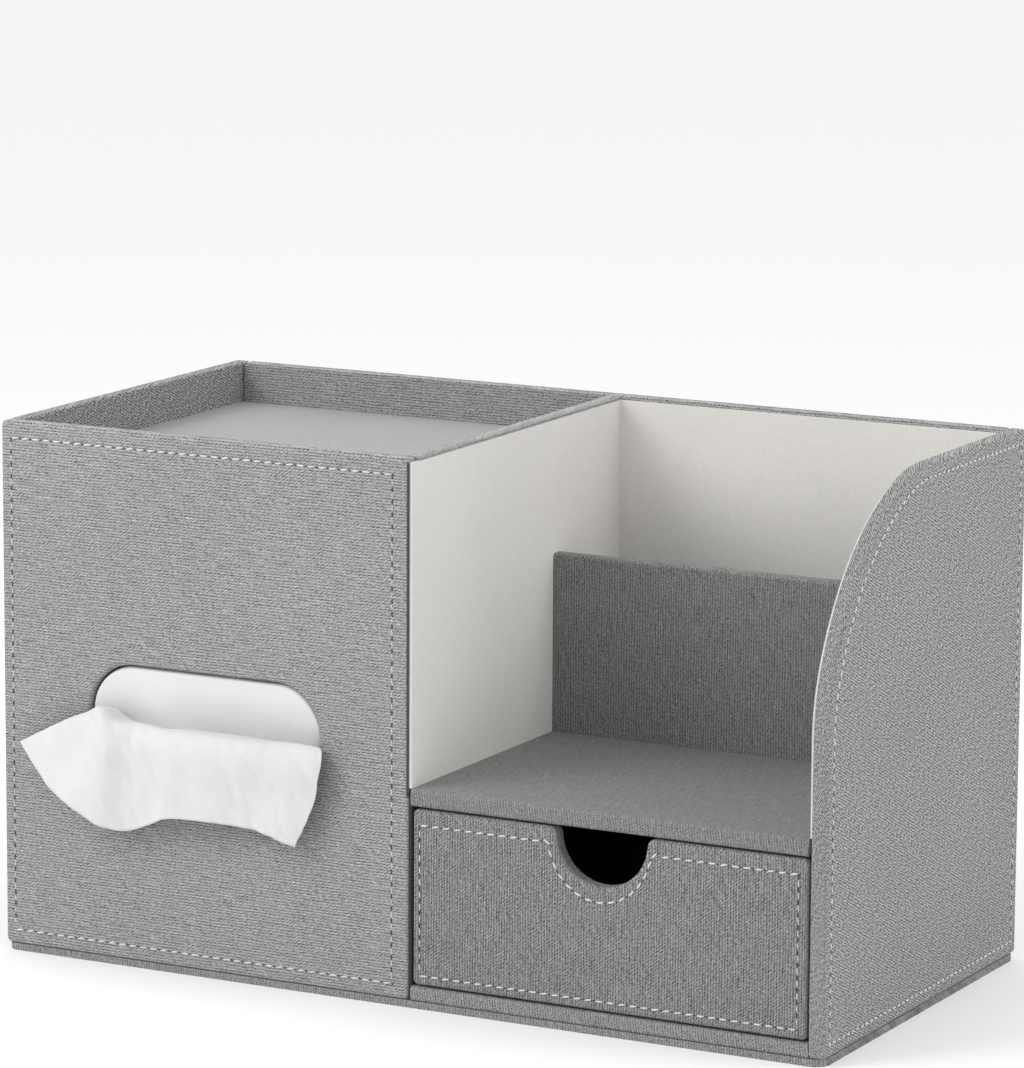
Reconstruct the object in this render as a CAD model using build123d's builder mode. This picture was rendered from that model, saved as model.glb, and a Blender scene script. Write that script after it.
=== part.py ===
from build123d import *
from math import cos, radians, sin
import os

# Desk organiser made of leather-covered boards: a tissue chamber with a tray on top,
# an open shelf over a drawer, and a tall pocket behind them.
# +X is right, -Y is the front and +Z is up; the origin is the middle of the underside.
# All sizes are in millimetres.

# ---------------------------------------------------------------- driving dimensions
overall_width = 260.0
overall_depth = 132.0
overall_height = 155.0
tissue_bay_width = 133.5      # left wall to the partition's right face
tray_depth = 12.0             # rim to the tray's floor
curve_drop = 66.0             # rounded front corner of the right wall, back and down
shoulder_radius = 50.0        # tighter arc at each end of that corner
shoulder_turn = 20.0          # degrees that each of those arcs turns

# boards and cloths
board = 3.2                   # greyboard core of a wall
cover = 0.7                   # leather cloth glued round the boards
turn_in = 16.0                # cloth folded over on to the back of a board
lining = 0.8                  # lining sheet glued on a wall
rim_reveal = 1.2              # cover left showing above a white lining
lining_setback = 0.5          # partition linings' front edge, behind the front face
edge_radius = 1.1             # outer edges of a covered board
back_edge_radius = 0.6        # inner edges of a covered board
wall_corner_radius = 1.5      # corners of a wall, seen square on

# base
base_board_thickness = 1.3
base_corner_radius = 4.0
base_edge_radius = 0.4

# tissue slot in the front wall
slot_width = 75.0
slot_height = 28.0
slot_centre_height = 74.0
slot_turn_in = 8.0

# tray floor
tray_board = 2.0

# shelf, divider, floor under the drawer and pad in the rear pocket
shelf_top = 62.5
shelf_board = 3.6
divider_front = 84.6          # organiser's front face to the divider's
divider_height = 115.0
bay_floor_board = 2.9
pocket_pad = 2.0

# drawer
drawer_side_gap = 0.7         # drawer front to the walls beside it
drawer_top_gap = 0.6          # drawer front to the shelf
drawer_bottom_gap = 0.6       # drawer front to the floor under it
drawer_run_gap = 0.2          # running clearance under the drawer
drawer_box_gap = 0.6          # drawer box to the linings beside it
drawer_back_gap = 0.5         # drawer box to the divider
drawer_lining_gap = 0.6       # drawer front to the lining behind its right end
drawer_wall = 2.4
drawer_bottom_board = 2.0
drawer_box_top_gap = 4.0      # drawer box to the shelf
drawer_mat = 0.8
drawer_turn_in = 6.0
notch_radius = 13.8
notch_drop = 1.4              # drawer front's top edge to the notch's centre
notch_mouth_radius = 2.4
notch_offset = -1.8           # left of the middle of the drawer front

# loading flap in the rear wall
flap_opening_width = 104.0
flap_sill = 12.0              # top of the base to the opening
flap_lintel = 29.0            # opening to the rim
flap_gap = 0.6
flap_turn_in = 10.0
opening_turn_in = 6.0
hinge_strip = 0.8
hinge_strip_height = 10.0     # on each side of the fold
hinge_strip_inset = 4.0       # from each side of the opening
stop_thickness = 3.0
stop_height = 18.0
stop_overlap = 9.5            # stop showing above the sill
magnet_diameter = 6.0
magnet_thickness = 1.5
magnet_spacing = 70.0
magnet_edge = 0.8             # board left below each magnet
strike_thickness = 1.0

# tissue pack
pack_side_gap = 3.2
pack_front_gap = 4.0
pack_rear_gap = 11.8          # pack to the flap's stop
pack_top_gap = 10.2           # pack to the tray
pack_radius = 7.0

# pulled tissue
sheet = 0.8
sheet_fold_radius = 4.0
sheet_stand_off = 1.2         # back of a hanging part to the front wall

# ---------------------------------------------------------------- derived places
panel = board + 2 * cover
base_top = base_board_thickness + cover
x_left = -overall_width / 2
x_right = overall_width / 2
x_left_in = x_left + panel
x_right_in = x_right - panel
x_bay_left = x_left + tissue_bay_width
x_bay_right = x_right_in - lining
x_partition = x_bay_left - panel
y_front = -overall_depth / 2
y_rear = overall_depth / 2
y_front_in = y_front + panel
y_rear_in = y_rear - panel
y_flap_stop = y_rear_in - stop_thickness
y_divider = y_front + divider_front
y_pocket = y_divider + panel
shelf_bottom = shelf_top - shelf_board - 2 * cover
bay_floor_top = base_top + bay_floor_board + 2 * cover
lining_top = overall_height - rim_reveal
tray_top = overall_height - tray_depth
tray_bottom = tray_top - lining - tray_board

front_face = Plane.XZ.offset(-y_front)
rear_face = Plane.XZ.offset(-y_rear)
left_face = Plane.YZ.offset(x_left)
right_face = Plane.YZ.offset(x_right)
# the way inwards from each face, along its plane's normal or against it
front_inwards, rear_inwards, left_inwards, right_inwards = -1, 1, 1, -1

os.makedirs("parts", exist_ok=True)


def write(part, label):
    """Names a finished piece and writes its file."""
    part.label = label
    export_step(part, f"parts/{label}.step")


def rectangle(low, high, corner=0.0):
    """A rectangle between two corners, with rounded corners where a radius is given."""
    with BuildSketch() as shape:
        with Locations(((low[0] + high[0]) / 2, (low[1] + high[1]) / 2)):
            Rectangle(high[0] - low[0], high[1] - low[1])
        if corner:
            fillet(shape.vertices(), radius=corner)
    return shape.sketch


def joined(*outlines):
    """Several outlines as one."""
    with BuildSketch() as shape:
        for outline in outlines:
            add(outline)
    return shape.sketch


def without(outline, hole):
    """An outline with another one cut out of it, or as it is where there is none."""
    with BuildSketch() as shape:
        add(outline)
        if hole is not None:
            add(hole, mode=Mode.SUBTRACT)
    return shape.sketch


def grown(outline, amount):
    """An outline moved outwards by an amount, or inwards by a negative one."""
    if outline is None:
        return None
    with BuildSketch() as shape:
        add(outline)
        offset(amount=amount, kind=Kind.INTERSECTION)
    return shape.sketch


def slab(outline, face, inwards, depth, thickness):
    """A flat sheet that starts at a depth behind a face."""
    with BuildPart() as flat:
        with BuildSketch(face.offset(inwards * depth)):
            add(outline)
        extrude(amount=inwards * thickness)
    return flat.part


def block(low, high):
    """A plain block between two corners."""
    with BuildPart() as body:
        with BuildSketch(Plane.XY.offset(low[2])):
            add(rectangle(low[:2], high[:2]))
        extrude(amount=high[2] - low[2])
    return body.part


def wrapped_wall(name, face, inwards, outline, back, hole=None, fold=turn_in, pockets=None):
    """Writes a wall's board and the cloth round it, and returns the sheet in its back.

    The cloth goes round every edge, that of the hole too, and is folded over on the back.
    """
    across = Axis(face.origin, face.z_dir)
    outer, inner = (0, -1) if inwards > 0 else (-1, 0)
    core = slab(without(grown(outline, -cover), grown(hole, cover)), face, inwards, cover, board)
    window = slab(without(back, grown(hole, fold)), face, inwards, cover + board, cover)
    with BuildPart() as wrap:
        with BuildSketch(face):
            add(without(outline, hole))
        extrude(amount=inwards * panel)
        fillet(wrap.faces().sort_by(across)[outer].edges(), radius=edge_radius)
        fillet(wrap.faces().sort_by(across)[inner].edges(), radius=back_edge_radius)
        add(core, mode=Mode.SUBTRACT)
        add(window, mode=Mode.SUBTRACT)
    with BuildPart() as bored:
        add(core)
        if pockets is not None:
            add(pockets, mode=Mode.SUBTRACT)
    write(bored.part, f"{name}_board")
    write(wrap.part, f"{name}_cover")
    return window


def folded_board(name, low, high):
    """A board with cloth over its top, round its front edge and under it."""
    with BuildPart() as core:
        add(block((low[0], low[1] + cover, low[2] + cover), (high[0], high[1], high[2] - cover)))
    with BuildPart() as wrap:
        add(block(low, high))
        fillet(wrap.edges().filter_by(Axis.X).group_by(Axis.Y)[0], radius=edge_radius)
        add(core.part, mode=Mode.SUBTRACT)
    write(core.part, f"{name}_board")
    write(wrap.part, f"{name}_cover")


def discs(height, face_y, thickness):
    """The pair of round pieces at the flap's free edge, from a face towards the rear."""
    with BuildPart() as pair:
        with BuildSketch(Plane.XZ.offset(-face_y)):
            with Locations((flap_x, height)):
                with GridLocations(magnet_spacing, 0, 2, 1):
                    Circle(magnet_diameter / 2)
        extrude(amount=-thickness)
    return pair.part


# ---------------------------------------------------------------- base
with BuildPart() as base_board:
    with BuildSketch(Plane.XY.offset(cover)):
        RectangleRounded(
            overall_width - 2 * cover, overall_depth - 2 * cover, base_corner_radius - cover
        )
    extrude(amount=base_board_thickness)
write(base_board.part, "base_board")

with BuildPart() as base_cover:
    with BuildSketch():
        RectangleRounded(overall_width, overall_depth, base_corner_radius)
    extrude(amount=base_top)
    fillet(base_cover.faces().sort_by(Axis.Z)[-1].edges(), radius=base_edge_radius)
    add(base_board.part, mode=Mode.SUBTRACT)
write(base_cover.part, "base_cover")

# ---------------------------------------------------------------- front wall
front_low = (x_left, base_top)
front_high = (x_bay_left - lining, overall_height)
slot_x = (x_left + x_bay_left) / 2
with BuildSketch() as slot_outline:
    with Locations((slot_x, slot_centre_height)):
        SlotOverall(slot_width, slot_height)
front_lining = wrapped_wall(
    "front",
    front_face,
    front_inwards,
    rectangle(front_low, front_high, wall_corner_radius),
    grown(rectangle(front_low, front_high), -turn_in),
    hole=slot_outline.sketch,
    fold=slot_turn_in,
)

# ---------------------------------------------------------------- left wall
left_low = (y_front_in, base_top)
left_high = (y_rear, overall_height)
left_lining = wrapped_wall(
    "left",
    left_face,
    left_inwards,
    rectangle(left_low, left_high, wall_corner_radius),
    grown(rectangle(left_low, left_high), -turn_in),
)


# ---------------------------------------------------------------- right wall
def curved_outline(inset, corner=0.0):
    """The right wall's outline, with its rounded front corner, drawn in by an inset."""
    shoulder = radians(shoulder_turn)
    middle_radius = (curve_drop - shoulder_radius * (1 - cos(shoulder) + sin(shoulder))) / (
        cos(shoulder) - sin(shoulder)
    )
    low, high = base_top + inset, overall_height - inset
    front, rear = y_front + inset, y_rear - inset
    with BuildSketch() as shape:
        with BuildLine():
            rise = Line((front, low), (front, overall_height - curve_drop))
            lower = JernArc(rise @ 1, rise % 1, shoulder_radius - inset, -shoulder_turn)
            middle = JernArc(lower @ 1, lower % 1, middle_radius - inset, 2 * shoulder_turn - 90)
            upper = JernArc(middle @ 1, middle % 1, shoulder_radius - inset, -shoulder_turn)
            Polyline(upper @ 1, (rear, high), (rear, low), (front, low))
        make_face()
        if corner:
            bottom_corners = shape.vertices().group_by(Axis.Y)[0]
            top_corner = shape.vertices().group_by(Axis.Y)[-1].sort_by(Axis.X)[-1]
            fillet([*bottom_corners, top_corner], radius=corner)
    return shape.sketch


right_back = wrapped_wall(
    "right",
    right_face,
    right_inwards,
    curved_outline(0.0, wall_corner_radius),
    curved_outline(turn_in),
)

# ---------------------------------------------------------------- rear wall and loading flap
flap_x = (x_left_in + x_partition) / 2
sill_z = base_top + flap_sill
lintel_z = overall_height - flap_lintel
fold_z = lintel_z - flap_gap / 2
opening_low = (flap_x - flap_opening_width / 2, sill_z)
opening_high = (flap_x + flap_opening_width / 2, lintel_z)
rear_low = (x_left_in, base_top)
rear_high = (x_right_in, overall_height)
rear_lining_sheet = wrapped_wall(
    "rear",
    rear_face,
    rear_inwards,
    rectangle(rear_low, rear_high, wall_corner_radius),
    grown(rectangle(rear_low, rear_high), -turn_in),
    hole=rectangle(opening_low, opening_high, wall_corner_radius),
    fold=opening_turn_in,
)

magnets_z = sill_z + flap_gap + cover + magnet_edge + magnet_diameter / 2
magnets = discs(magnets_z, y_rear_in + cover, magnet_thickness)
write(magnets, "flap_magnets")
flap_outline = grown(rectangle(opening_low, opening_high), -flap_gap)
flap_lining = wrapped_wall(
    "flap",
    rear_face,
    rear_inwards,
    flap_outline,
    grown(flap_outline, -flap_turn_in),
    pockets=magnets,
)
write(flap_lining, "flap_lining")

strikes = discs(magnets_z, y_rear_in - strike_thickness, strike_thickness)
write(strikes, "strike_plates")
stop_bottom = sill_z + stop_overlap - stop_height
with BuildPart() as flap_stop:
    add(
        block(
            (opening_low[0], y_flap_stop, stop_bottom),
            (opening_high[0], y_rear_in, stop_bottom + stop_height),
        )
    )
    add(strikes, mode=Mode.SUBTRACT)
write(flap_stop.part, "flap_stop")

strip_left = opening_low[0] + hinge_strip_inset
strip_right = opening_high[0] - hinge_strip_inset
for strip_name, strip_low, strip_high in (
    ("hinge_strip_fixed", fold_z, fold_z + hinge_strip_height),
    ("hinge_strip_moving", fold_z - hinge_strip_height, fold_z),
):
    strip = block(
        (strip_left, y_rear, strip_low), (strip_right, y_rear + hinge_strip, strip_high)
    )
    write(strip, strip_name)

# ---------------------------------------------------------------- partition
partition_board = block(
    (x_partition + cover, y_front_in, base_top),
    (x_bay_left - lining, y_rear_in, overall_height - cover),
)
write(partition_board, "partition_board")

with BuildPart() as partition_cover:
    add(block((x_partition, y_front_in, base_top), (x_bay_left, y_rear_in, overall_height)))
    rim_edges = partition_cover.edges().filter_by(Axis.Y).group_by(Axis.Z)[-1]
    fillet(rim_edges, radius=edge_radius)
    add(partition_board, mode=Mode.SUBTRACT)
    add(
        block((x_bay_left - lining, y_front_in, base_top), (x_bay_left, y_rear_in, lining_top)),
        mode=Mode.SUBTRACT,
    )
write(partition_cover.part, "partition_cover")

# ---------------------------------------------------------------- linings
lining_front = y_front + lining_setback
pocket_side = rectangle((y_divider, base_top), (y_rear_in, shelf_top))
partition_lining = slab(
    joined(rectangle((lining_front, shelf_top), (y_rear_in, lining_top)), pocket_side),
    Plane.YZ.offset(x_bay_left),
    -1,
    0,
    lining,
)
write(partition_lining, "partition_lining")

with BuildSketch() as right_lining_outline:
    add(curved_outline(rim_reveal))
    add(rectangle((y_front, shelf_top), (y_rear_in, lining_top)), mode=Mode.INTERSECT)
    add(pocket_side)
right_lining = slab(
    right_lining_outline.sketch, Plane.YZ.offset(x_right_in), right_inwards, 0, lining
)
write(right_lining, "right_lining")

rear_lining = block(
    (x_bay_left, y_rear_in - lining, base_top), (x_bay_right, y_rear_in, lining_top)
)
write(rear_lining, "rear_lining")

bay_lining_left = block(
    (x_bay_left - lining, lining_front, base_top), (x_bay_left, y_divider, shelf_top)
)
write(bay_lining_left, "bay_lining_left")
bay_lining_right = block(
    (x_bay_right, y_front_in + drawer_lining_gap, bay_floor_top),
    (x_right_in, y_divider, shelf_bottom),
)
write(bay_lining_right, "bay_lining_right")

for back_name, back_sheet in (
    ("front_back_lining", front_lining),
    ("left_back_lining", left_lining),
    ("right_back_lining", right_back),
    ("rear_back_lining", rear_lining_sheet),
):
    write(back_sheet, back_name)

# ---------------------------------------------------------------- tray on top of the chamber
tray_floor = block(
    (x_left_in, y_front_in, tray_bottom),
    (x_partition, y_rear_in, tray_top - lining),
)
write(tray_floor, "tray_floor")
tray_mat = block(
    (x_left_in, y_front_in, tray_top - lining), (x_partition, y_rear_in, tray_top)
)
write(tray_mat, "tray_mat")

# ---------------------------------------------------------------- shelf, floors and divider
folded_board("shelf", (x_bay_left, y_front, shelf_bottom), (x_bay_right, y_divider, shelf_top))
folded_board("bay_floor", (x_bay_left, y_front, base_top), (x_right_in, y_divider, bay_floor_top))

divider_board = block(
    (x_bay_left, y_divider + cover, base_top),
    (x_bay_right, y_pocket - cover, divider_height - cover),
)
write(divider_board, "divider_board")
with BuildPart() as divider_cover:
    add(block((x_bay_left, y_divider, base_top), (x_bay_right, y_pocket, divider_height)))
    top_edges = divider_cover.edges().filter_by(Axis.X).group_by(Axis.Z)[-1]
    fillet(top_edges, radius=edge_radius)
    add(divider_board, mode=Mode.SUBTRACT)
write(divider_cover.part, "divider_cover")

pocket_mat = block(
    (x_bay_left, y_pocket, base_top), (x_bay_right, y_rear_in - lining, base_top + pocket_pad)
)
write(pocket_mat, "pocket_mat")

# ---------------------------------------------------------------- drawer
drawer_left = x_bay_left + drawer_side_gap
drawer_right = x_right_in - drawer_side_gap
drawer_low = bay_floor_top + drawer_bottom_gap
drawer_high = shelf_bottom - drawer_top_gap
notch_x = (drawer_left + drawer_right) / 2 + notch_offset
notch_z = drawer_high - notch_drop
with BuildSketch() as drawer_outline:
    add(rectangle((drawer_left, drawer_low), (drawer_right, drawer_high), wall_corner_radius))
    with Locations((notch_x, notch_z)):
        Circle(notch_radius, mode=Mode.SUBTRACT)
    top_points = drawer_outline.vertices().group_by(Axis.Y)[-1]
    mouth_corners = top_points.sort_by(Axis.X)[1:-1]
    fillet(mouth_corners, radius=notch_mouth_radius)
drawer_back_window = rectangle(
    (drawer_left + drawer_turn_in, drawer_low + drawer_turn_in),
    (drawer_right - drawer_turn_in, notch_z - notch_radius - drawer_turn_in),
)
drawer_front_lining = wrapped_wall(
    "drawer_front",
    front_face,
    front_inwards,
    drawer_outline.sketch,
    drawer_back_window,
)
write(drawer_front_lining, "drawer_front_lining")

box_left = x_bay_left + drawer_box_gap
box_right = x_bay_right - drawer_box_gap
box_rear = y_divider - drawer_back_gap
box_low = bay_floor_top + drawer_run_gap
box_high = shelf_bottom - drawer_box_top_gap
floor_z = box_low + drawer_bottom_board
drawer_bottom = block((box_left, y_front_in, box_low), (box_right, box_rear, floor_z))
write(drawer_bottom, "drawer_bottom")
for side_name, side_left in (
    ("drawer_side_left", box_left),
    ("drawer_side_right", box_right - drawer_wall),
):
    side = block(
        (side_left, y_front_in, floor_z), (side_left + drawer_wall, box_rear, box_high)
    )
    write(side, side_name)
drawer_back = block(
    (box_left + drawer_wall, box_rear - drawer_wall, floor_z),
    (box_right - drawer_wall, box_rear, box_high),
)
write(drawer_back, "drawer_back")
drawer_mat_sheet = block(
    (box_left + drawer_wall, y_front_in, floor_z),
    (box_right - drawer_wall, box_rear - drawer_wall, floor_z + drawer_mat),
)
write(drawer_mat_sheet, "drawer_mat")

# ---------------------------------------------------------------- tissue pack
y_pack = y_front_in + pack_front_gap
with BuildPart() as tissue_pack:
    add(
        block(
            (x_left_in + pack_side_gap, y_pack, base_top),
            (x_partition - pack_side_gap, y_flap_stop - pack_rear_gap, tray_bottom - pack_top_gap),
        )
    )
    fillet(tissue_pack.edges(), radius=pack_radius)
write(tissue_pack.part, "tissue_pack")


# ---------------------------------------------------------------- pulled tissue
def hanging_profile(inner_y, fold_height, reach, drop):
    """One upright cut through the pulled tissue: in over the slot's edge, then down."""
    bend = min(sheet_fold_radius, drop / 3)
    top = slot_centre_height + fold_height
    outside = y_front - reach
    diagonal = cos(radians(45))
    centre_y, centre_z = outside + bend, top - bend
    inner_bend = bend - sheet
    with BuildLine() as cut:
        over = Line((inner_y, top), (centre_y, top))
        middle = (centre_y - bend * diagonal, centre_z + bend * diagonal)
        outer_arc = ThreePointArc(over @ 1, middle, (outside, centre_z))
        hem = (outside, top - drop), (outside + sheet, top - drop)
        down = Polyline(outer_arc @ 1, *hem, (outside + sheet, centre_z))
        middle = (centre_y - inner_bend * diagonal, centre_z + inner_bend * diagonal)
        inner_arc = ThreePointArc(down @ 1, middle, (centre_y, top - sheet))
        Polyline(inner_arc @ 1, (inner_y, top - sheet), (inner_y, top))
    return cut.line


# across from the slot's middle, height over its middle, reach out of the front, drop, in the slot
in_front = y_front - sheet_stand_off
tissue_folds = (
    (-57.0, -7.0, 6.0, 6.0, in_front),
    (-46.5, -4.3, 7.5, 18.0, in_front),
    (-37.5, -0.2, 10.0, 28.5, in_front),
    (-31.5, 1.6, 11.5, 32.5, y_pack),
    (-23.5, -0.7, 8.0, 31.5, y_pack),
    (-15.5, -1.4, 6.0, 28.5, y_pack),
    (-8.5, -1.2, 8.0, 25.5, y_pack),
    (7.5, -1.0, 10.5, 25.0, y_pack),
    (22.5, -1.2, 8.5, 26.0, y_pack),
    (31.5, -1.3, 7.0, 28.5, y_pack),
    (36.0, -1.2, 7.5, 20.0, in_front),
    (41.5, -1.2, 7.0, 7.0, in_front),
)
with BuildPart() as pulled_tissue:
    for across_slot, fold_height, reach, drop, inner_y in tissue_folds:
        with BuildSketch(Plane.YZ.offset(slot_x + across_slot)):
            with BuildLine():
                add(hanging_profile(inner_y, fold_height, reach, drop))
            make_face()
    loft(ruled=True)
write(pulled_tissue.part, "pulled_tissue")
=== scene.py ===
"""Looks of a desk organiser with a tissue chamber, an open shelf, a pocket and a drawer.

The boards are wrapped in grey leather cloth with a woven grain and stitched near their
edges. White cloth lines the open bay, and a pack of tissues fills the left chamber.
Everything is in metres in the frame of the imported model: +X right, -Y front, +Z up.
"""

from __future__ import annotations

import logging
import math
import random
from dataclasses import dataclass
from enum import Enum
from functools import partialmethod
from typing import Any, Callable, Sequence

import bmesh
import bpy
from bpy.types import Material, Mesh, NodeSocket, NodeTree, Object
from mathutils import Euler, Matrix, Vector, noise

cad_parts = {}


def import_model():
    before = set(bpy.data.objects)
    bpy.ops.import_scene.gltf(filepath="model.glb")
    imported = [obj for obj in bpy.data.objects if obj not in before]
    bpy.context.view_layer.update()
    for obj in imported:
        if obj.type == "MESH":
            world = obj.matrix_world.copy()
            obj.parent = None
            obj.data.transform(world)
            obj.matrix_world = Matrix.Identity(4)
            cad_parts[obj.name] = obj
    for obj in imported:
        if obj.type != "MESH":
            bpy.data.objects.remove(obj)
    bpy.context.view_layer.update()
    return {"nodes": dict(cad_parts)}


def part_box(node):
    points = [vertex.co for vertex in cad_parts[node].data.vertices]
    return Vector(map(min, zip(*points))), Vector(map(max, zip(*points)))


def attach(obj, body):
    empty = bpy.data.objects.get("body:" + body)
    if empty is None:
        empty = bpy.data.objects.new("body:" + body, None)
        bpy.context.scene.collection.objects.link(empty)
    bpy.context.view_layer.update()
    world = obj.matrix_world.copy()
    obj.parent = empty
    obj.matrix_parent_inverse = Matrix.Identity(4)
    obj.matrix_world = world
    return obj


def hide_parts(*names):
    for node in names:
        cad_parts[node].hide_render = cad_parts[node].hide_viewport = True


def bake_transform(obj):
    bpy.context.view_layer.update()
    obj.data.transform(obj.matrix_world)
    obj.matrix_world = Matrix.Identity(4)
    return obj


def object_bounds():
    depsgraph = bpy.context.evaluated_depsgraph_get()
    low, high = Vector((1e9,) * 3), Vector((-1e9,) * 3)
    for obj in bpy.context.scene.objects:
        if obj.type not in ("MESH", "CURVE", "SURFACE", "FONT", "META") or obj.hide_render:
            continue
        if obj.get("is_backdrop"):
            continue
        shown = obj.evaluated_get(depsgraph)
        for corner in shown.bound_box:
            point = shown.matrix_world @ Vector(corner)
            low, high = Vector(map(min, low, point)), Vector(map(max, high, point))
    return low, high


MM = 0.001
FULL_TURN = 2 * math.pi
LOG = logging.getLogger("organiser")

Colour = tuple[float, float, float]
Key = int | str
Sockets = dict[Key, Any]
Line = Sequence[Vector]
Edges = tuple[float, float, float, float, float]


# ---- shader expressions
class Signal:
    """A node's output that takes part in arithmetic: each operator adds a Math node."""

    def __init__(self, graph: Graph, socket: NodeSocket | None) -> None:
        """Keeps the graph and the socket that carries the value."""
        self.graph = graph
        self.socket = socket

    def apply(self, operation: str, *others: Any) -> Signal:
        """Adds one Math node over this value and perhaps another.

        Args:
            operation: Name of the node's operation.
            *others: The second operand, a signal or a number, or nothing.

        Returns:
            The node's output.
        """
        operands = dict(enumerate((self, *others)))
        return self.graph.node("ShaderNodeMath", operands, operation=operation)

    __add__ = __radd__ = partialmethod(apply, "ADD")
    __sub__ = partialmethod(apply, "SUBTRACT")
    __mul__ = __rmul__ = partialmethod(apply, "MULTIPLY")
    __truediv__ = partialmethod(apply, "DIVIDE")
    sine = partialmethod(apply, "SINE")
    at_least = partialmethod(apply, "MAXIMUM")


Place = tuple[Signal, Signal, Signal]


class Graph:
    """A node tree, built from expressions."""

    def __init__(self, tree: NodeTree) -> None:
        """Keeps the tree."""
        self.tree = tree

    def node(
        self, kind: str, inputs: Sockets | None = None, out: Key = 0, **settings: Any
    ) -> Signal:
        """Adds a node.

        Args:
            kind: The node's type.
            inputs: Values or signals for its input sockets, by name or number.
            out: The output socket that is wanted.
            **settings: The node's properties, set before its sockets.

        Returns:
            The wanted output, which is empty on a node that has none.
        """
        made = self.tree.nodes.new(kind)
        for name, value in settings.items():
            setattr(made, name, value)
        for key, value in (inputs or {}).items():
            if isinstance(value, Signal):
                self.tree.links.new(value.socket, made.inputs[key])
            else:
                made.inputs[key].default_value = value
        return Signal(self, made.outputs[out] if len(made.outputs) else None)

    def position(self) -> Place:
        """The place on the object in millimetres, as its three parts."""
        place = self.node("ShaderNodeTexCoord", out="Object")
        split = "ShaderNodeSeparateXYZ"
        x, y, z = (self.node(split, {0: place}, axis) * (1 / MM) for axis in range(3))
        return x, y, z

    def noise(self, across: Any, up: Any, depth: Any = 0.0, detail: float = 2.0) -> Signal:
        """Soft noise about zero.

        Args:
            across: First coordinate, in noise cells.
            up: Second coordinate.
            depth: Third coordinate.
            detail: Number of finer layers.

        Returns:
            A value from about -0.5 to 0.5.
        """
        vector = self.node("ShaderNodeCombineXYZ", {0: across, 1: up, 2: depth})
        inputs = {"Vector": vector, "Scale": 1.0, "Detail": detail}
        return self.node("ShaderNodeTexNoise", inputs) - 0.5

    def even_noise(self, place: Place, cell: float, detail: float = 2.0) -> Signal:
        """Soft noise about zero, with cells of one size in millimetres every way."""
        x, y, z = place
        return self.noise(x / cell, y / cell, z / cell, detail)

    def tint(self, colour: Colour, amount: Signal) -> Signal:
        """A colour made lighter or darker by an amount that varies over the surface."""
        return self.node("ShaderNodeVectorMath", {0: colour, "Scale": amount}, operation="SCALE")

    def bump(self, height: Signal, strength: float, distance: float) -> Signal:
        """The surface normal over a relief of a given depth in millimetres."""
        inputs = {"Strength": strength, "Distance": distance * MM, "Height": height}
        return self.node("ShaderNodeBump", inputs)


def dye(name: str, recipe: Callable[[Graph], Sockets]) -> Material:
    """Makes a material.

    Args:
        name: The material's name.
        recipe: What gives the values or signals for its shader's sockets.

    Returns:
        The finished material.
    """
    material = bpy.data.materials.new(name)
    material.use_nodes = True
    material.node_tree.nodes.clear()
    graph = Graph(material.node_tree)
    shader = graph.node("ShaderNodeBsdfPrincipled", recipe(graph))
    graph.node("ShaderNodeOutputMaterial", {"Surface": shader})
    return material


# ---- finishes
class Lie(Enum):
    """Which way a panel's face lies, for the direction of its weave."""

    FRONT = "front"
    SIDE = "side"
    FLAT = "flat"

    def axes(self, place: Place) -> tuple[Signal, Signal]:
        """The two directions of the cloth, which carry on round the panel's edges.

        Args:
            place: The place on the object, as its three parts.

        Returns:
            The coordinates across and up the cloth.
        """
        x, y, z = place
        on, on_side, slip = 1.2, 2.4, 0.15
        if self is Lie.FRONT:
            return x + y * on, z + y * slip
        if self is Lie.SIDE:
            return y + x * on_side, z + x * slip
        return x + z * slip, y + z * on


class Grain(Enum):
    """How the weave shows: level ribs, upright ribs, diagonal ribs, and their lean in degrees."""

    ACROSS = (1.0, 0.1, 0.8, 37.0)
    UPRIGHT = (0.1, 1.0, 0.8, 37.0)
    TWILL = (0.1, 0.1, 1.7, -25.0)
    CALM = (0.4, 0.4, 0.5, 37.0)


@dataclass(frozen=True)
class Finish:
    """One material; every length in it is in millimetres."""

    name: str

    def make(self) -> Material:
        """Builds the material."""
        return dye(self.name, self.sockets)

    def sockets(self, graph: Graph) -> Sockets:
        """Values or signals for the shader's sockets, by name."""
        raise NotImplementedError


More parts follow.
